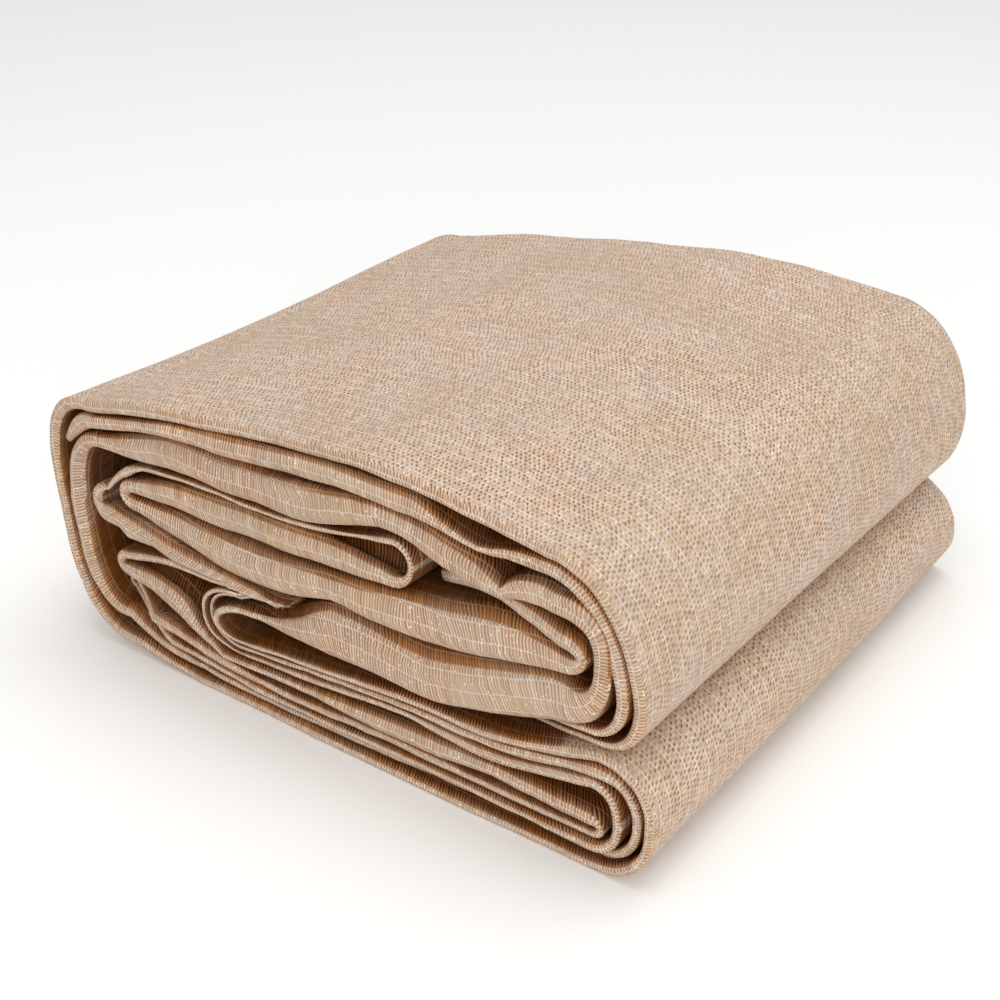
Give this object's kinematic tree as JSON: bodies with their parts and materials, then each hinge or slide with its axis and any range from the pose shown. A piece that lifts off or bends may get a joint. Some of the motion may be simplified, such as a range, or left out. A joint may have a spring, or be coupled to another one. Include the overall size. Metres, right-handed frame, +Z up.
{
  "type": "folded shade sail",
  "caption": "Knitted shade sail folded into a flat rectangular bundle, with its soft layers showing at the ends and rounded folds along one side.",
  "frame": {"origin": "on the surface the bundle lies on, under the middle of its outer box", "axes": "+X along the front from the spine side to the side with the rounded folds, +Y from the front away, +Z up"},
  "size_m": [0.2476, 0.232, 0.1067],
  "materials": {
    "knitted_shade_cloth": "warp-knitted polyethylene, sand coloured, dull with small glints"
  },
  "bodies": {
    "root": {"shade_cloth": "knitted_shade_cloth"}
  },
  "joints": []
}
